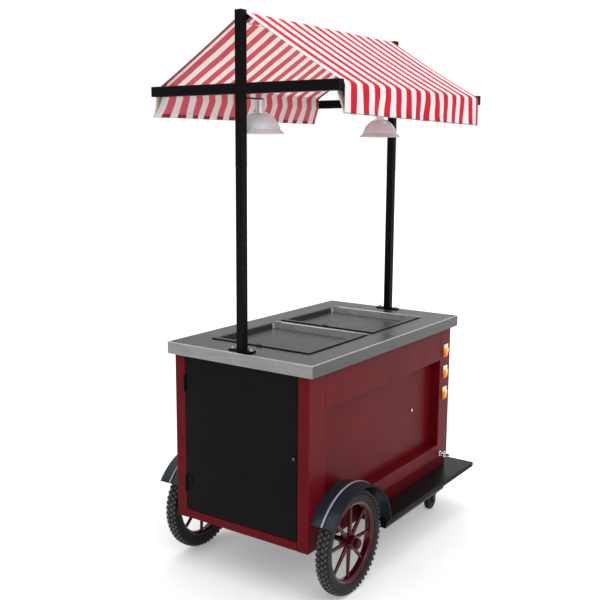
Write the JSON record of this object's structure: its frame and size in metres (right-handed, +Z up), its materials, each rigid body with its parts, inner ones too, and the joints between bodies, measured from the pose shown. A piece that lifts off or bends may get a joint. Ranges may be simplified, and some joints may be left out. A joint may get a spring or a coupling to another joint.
{
  "type": "roasted chestnut cart",
  "caption": "Street food cart: red cabinet with end door, steel worktop with lidded roasting pans, spoked wheels, casters, running boards, and a striped canopy on posts with hanging lamps.",
  "frame": {"origin": "on the ground under the middle of the whole cart's box", "axes": "+X from the door end to the platform end, switches face -Y, +Z up"},
  "size_m": [1.29, 0.8578, 2.172],
  "materials": {
    "cabinet_red": "glossy dark red paint with light orange peel",
    "chassis_red": "satin dark red paint",
    "black_paint": "satin black powder coat",
    "board_black": "glossy black paint, lightly scuffed",
    "guard_paint": "glossy blue-black enamel",
    "stainless": "brushed stainless sheet",
    "wheel_red": "glossy red enamel",
    "tyre": "matte black rubber",
    "zinc": "bright zinc plate",
    "chrome": "polished chrome plate",
    "caster_steel": "black coated steel",
    "caster_rubber": "black rubber",
    "switch_orange": "orange moulded housing",
    "rocker_amber": "amber moulded rocker",
    "shade_white": "white translucent shade",
    "bulb_glass": "frosted glass bulb",
    "canopy_cloth": "red and white striped woven cloth",
    "inlet_plastic": "black moulded inlet",
    "box_grey": "grey painted sheet",
    "plain_steel": "plain drawn steel tube"
  },
  "bodies": {
    "cart": {"front_face_frame": "cabinet_red", "back_face_frame": "cabinet_red", "front_panel": "cabinet_red", "back_panel": "cabinet_red", "door_surround": "cabinet_red", "far_end_frame": "cabinet_red", "far_end_panel": "cabinet_red", "chassis_sills": "chassis_red", "chassis_cross_tubes": "chassis_red", "door_hinge_pins": "black_paint", "near_post": "black_paint", "far_post": "black_paint", "cross_arms": "black_paint", "eave_bars": "black_paint", "ridge_bar": "black_paint", "lamp_brackets": "black_paint", "running_boards": "board_black", "end_platform": "board_black", "lip_rails": "board_black", "front_mudguard": "guard_paint", "back_mudguard": "guard_paint", "worktop": "stainless", "near_pan": "stainless", "far_pan": "stainless", "lid_hinges": "stainless", "floor_panel": "stainless", "axle": "zinc", "foot_bolts": "zinc", "drain_tap": "chrome", "lamp_holders": "chrome", "caster_mounts": "caster_steel", "switch_housings": "switch_orange", "near_shade": "shade_white", "far_shade": "shade_white", "bulbs": "bulb_glass", "canopy": "canopy_cloth", "mains_inlet": "inlet_plastic", "terminal_box": "box_grey", "heaters": "plain_steel", "drain_pipe": "plain_steel"},
    "near_lid": {"near_lid": "stainless"},
    "far_lid": {"far_lid": "stainless"},
    "end_door": {"end_door": "black_paint", "door_knuckles": "black_paint"},
    "door_lock": {"door_lock": "chrome"},
    "front_wheel": {"front_wheel": "wheel_red", "front_tyre": "tyre", "front_hub_cap": "wheel_red"},
    "back_wheel": {"back_wheel": "wheel_red", "back_tyre": "tyre", "back_hub_cap": "wheel_red"},
    "front_caster_fork": {"front_caster_fork": "caster_steel"},
    "back_caster_fork": {"back_caster_fork": "caster_steel"},
    "front_caster_wheel": {"front_caster_wheel": "caster_rubber"},
    "back_caster_wheel": {"back_caster_wheel": "caster_rubber"},
    "upper_rocker": {"upper_rocker": "rocker_amber"},
    "middle_rocker": {"middle_rocker": "rocker_amber"},
    "lower_rocker": {"lower_rocker": "rocker_amber"},
    "drain_tap_lever": {"drain_tap_lever": "chrome"},
    "panel_lock": {"panel_lock": "chrome"}
  },
  "joints": [
    {"name": "near_lid_hinge", "type": "hinge", "parent": "cart", "child": "near_lid", "pos_m": [-0.092, 0, 0.9418], "axis": [0, 1, 0], "range_deg": [0, 100]},
    {"name": "far_lid_hinge", "type": "hinge", "parent": "cart", "child": "far_lid", "pos_m": [0.378, 0, 0.9418], "axis": [0, 1, 0], "range_deg": [0, 100]},
    {"name": "end_door_hinge", "type": "hinge", "parent": "cart", "child": "end_door", "pos_m": [-0.6313, 0.2695, 0.57], "axis": [0, 0, -1], "range_deg": [0, 110]},
    {"name": "door_lock_turn", "type": "hinge", "parent": "end_door", "child": "door_lock", "pos_m": [-0.627, -0.257, 0.574], "axis": [1, 0, 0], "range_deg": [0, 90]},
    {"name": "front_wheel_spin", "type": "hinge", "parent": "cart", "child": "front_wheel", "pos_m": [-0.42, -0.3705, 0.206], "axis": [0, 1, 0], "continuous": true},
    {"name": "back_wheel_spin", "type": "hinge", "parent": "cart", "child": "back_wheel", "pos_m": [-0.42, 0.3705, 0.206], "axis": [0, 1, 0], "continuous": true},
    {"name": "front_caster_swivel", "type": "hinge", "parent": "cart", "child": "front_caster_fork", "pos_m": [0.5194, -0.263, 0.1], "axis": [0, 0, 1], "continuous": true},
    {"name": "back_caster_swivel", "type": "hinge", "parent": "cart", "child": "back_caster_fork", "pos_m": [0.5194, 0.263, 0.1], "axis": [0, 0, 1], "continuous": true},
    {"name": "front_caster_spin", "type": "hinge", "parent": "front_caster_fork", "child": "front_caster_wheel", "pos_m": [0.4944, -0.263, 0.04], "axis": [0, 1, 0], "continuous": true},
    {"name": "back_caster_spin", "type": "hinge", "parent": "back_caster_fork", "child": "back_caster_wheel", "pos_m": [0.4944, 0.263, 0.04], "axis": [0, 1, 0], "continuous": true},
    {"name": "upper_rocker_tilt", "type": "hinge", "parent": "cart", "child": "upper_rocker", "pos_m": [0.487, -0.3225, 0.782], "axis": [1, 0, 0], "range_deg": [0, 12]},
    {"name": "middle_rocker_tilt", "type": "hinge", "parent": "cart", "child": "middle_rocker", "pos_m": [0.487, -0.3225, 0.682], "axis": [1, 0, 0], "range_deg": [0, 12]},
    {"name": "lower_rocker_tilt", "type": "hinge", "parent": "cart", "child": "lower_rocker", "pos_m": [0.487, -0.3225, 0.582], "axis": [1, 0, 0], "range_deg": [0, 12]},
    {"name": "drain_tap_turn", "type": "hinge", "parent": "cart", "child": "drain_tap_lever", "pos_m": [0.46, -0.342, 0.31], "axis": [0, 0, 1], "range_deg": [0, 90]},
    {"name": "panel_lock_turn", "type": "hinge", "parent": "cart", "child": "panel_lock", "pos_m": [0.243, -0.277, 0.55], "axis": [0, 1, 0], "range_deg": [0, 90]}
  ]
}
